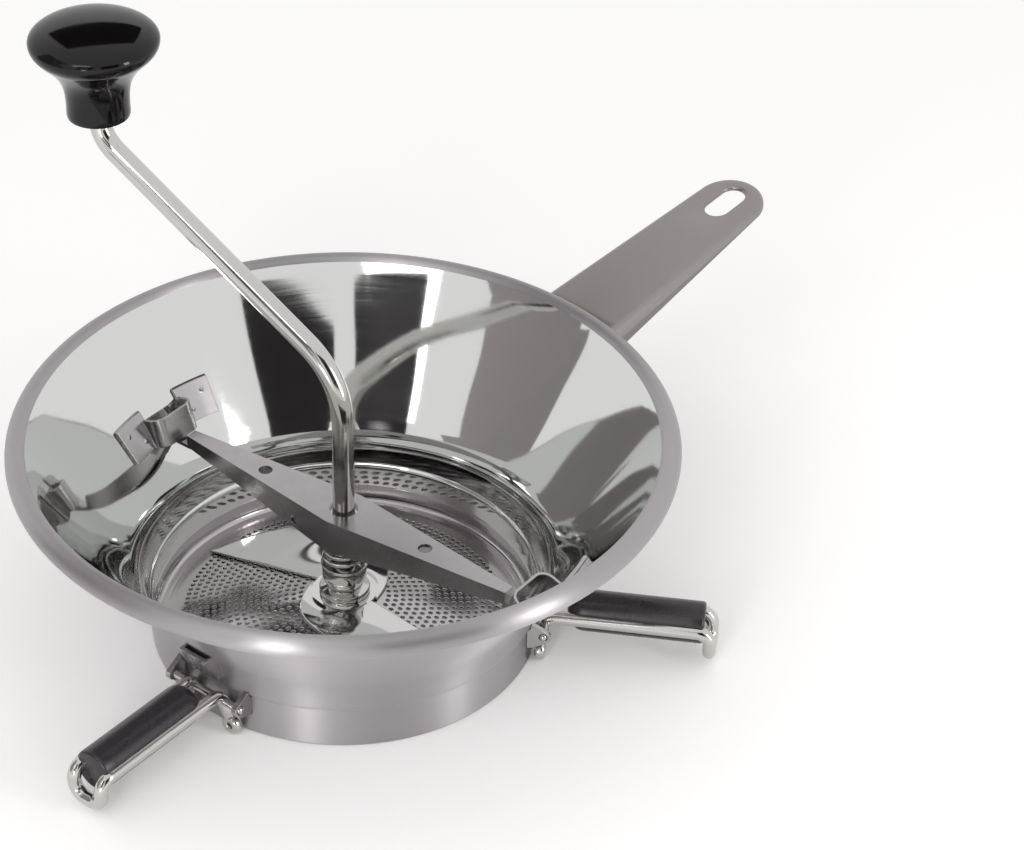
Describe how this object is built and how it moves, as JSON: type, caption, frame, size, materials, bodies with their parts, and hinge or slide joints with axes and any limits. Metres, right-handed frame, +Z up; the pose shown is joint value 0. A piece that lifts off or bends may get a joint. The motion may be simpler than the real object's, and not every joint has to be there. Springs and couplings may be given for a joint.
{
  "type": "food mill",
  "caption": "Hand-cranked food mill: flared steel bowl with rolled rim, sheet handle, fold-up wire legs, perforated disc, spring-loaded blade crank and black knob.",
  "frame": {"origin": "centre of the neck's lower face, on the crank axis", "axes": "+Z up along the crank axis, towards the knob; +X from the crank axis along the handle; +Y completes a right-handed frame, near the crank arm's side"},
  "size_m": [0.3589, 0.2494, 0.2182],
  "materials": {
    "polished_steel": "polished",
    "satin_steel": "satin",
    "bright_wire": "polished",
    "gloss_black": "gloss",
    "black_sleeve": "satin"
  },
  "bodies": {
    "bowl_body": {"bowl": "polished_steel", "handle": "satin_steel", "handle_saddle": "satin_steel", "staple_left": "polished_steel", "staple_right": "polished_steel", "grinding_disc": "polished_steel", "leg_lugs_a": "polished_steel", "leg_lugs_b": "polished_steel", "leg_lugs_c": "polished_steel", "leg_bracket_a": "polished_steel", "leg_bracket_b": "polished_steel", "leg_bracket_c": "polished_steel"},
    "crank": {"crank_rod": "bright_wire", "blade_hub": "bright_wire", "blade": "polished_steel", "lower_washer": "bright_wire", "knob_retainer": "bright_wire"},
    "knob_body": {"knob": "gloss_black", "knob_bush": "black_sleeve"},
    "crossbar_body": {"crossbar": "polished_steel", "upper_washer": "bright_wire", "pressure_spring": "bright_wire"},
    "leg_a": {"leg_wire_a": "bright_wire", "leg_sleeve_a": "black_sleeve"},
    "leg_b": {"leg_wire_b": "bright_wire", "leg_sleeve_b": "black_sleeve"},
    "leg_c": {"leg_wire_c": "bright_wire", "leg_sleeve_c": "black_sleeve"}
  },
  "joints": [
    {"name": "crank_spin", "type": "hinge", "parent": "bowl_body", "child": "crank", "pos_m": [0, 0, 0.0265], "axis": [0, 0, 1], "continuous": true},
    {"name": "knob_spin", "type": "hinge", "parent": "crank", "child": "knob_body", "pos_m": [-0.02229, 0.10056, 0.19], "axis": [0, 0, 1], "continuous": true},
    {"name": "crossbar_press", "type": "slide", "parent": "bowl_body", "child": "crossbar_body", "axis": [0, 0, -1], "range_m": [0, 0.0035], "stiffness_N_per_m": 4000, "springref_m": -0.003, "deforming": ["pressure_spring"]},
    {"name": "leg_a_fold", "type": "hinge", "parent": "bowl_body", "child": "leg_a", "pos_m": [-0.07556, -0.00874, 0.01454], "axis": [-0.1149, 0.9934, 0], "range_deg": [0, 40]},
    {"name": "leg_b_fold", "type": "hinge", "parent": "bowl_body", "child": "leg_b", "pos_m": [0.04535, -0.06107, 0.01454], "axis": [-0.8028, -0.5962, 0], "range_deg": [0, 40]},
    {"name": "leg_c_fold", "type": "hinge", "parent": "bowl_body", "child": "leg_c", "pos_m": [0.03021, 0.06981, 0.01454], "axis": [0.9178, -0.3971, 0], "range_deg": [0, 40]}
  ]
}
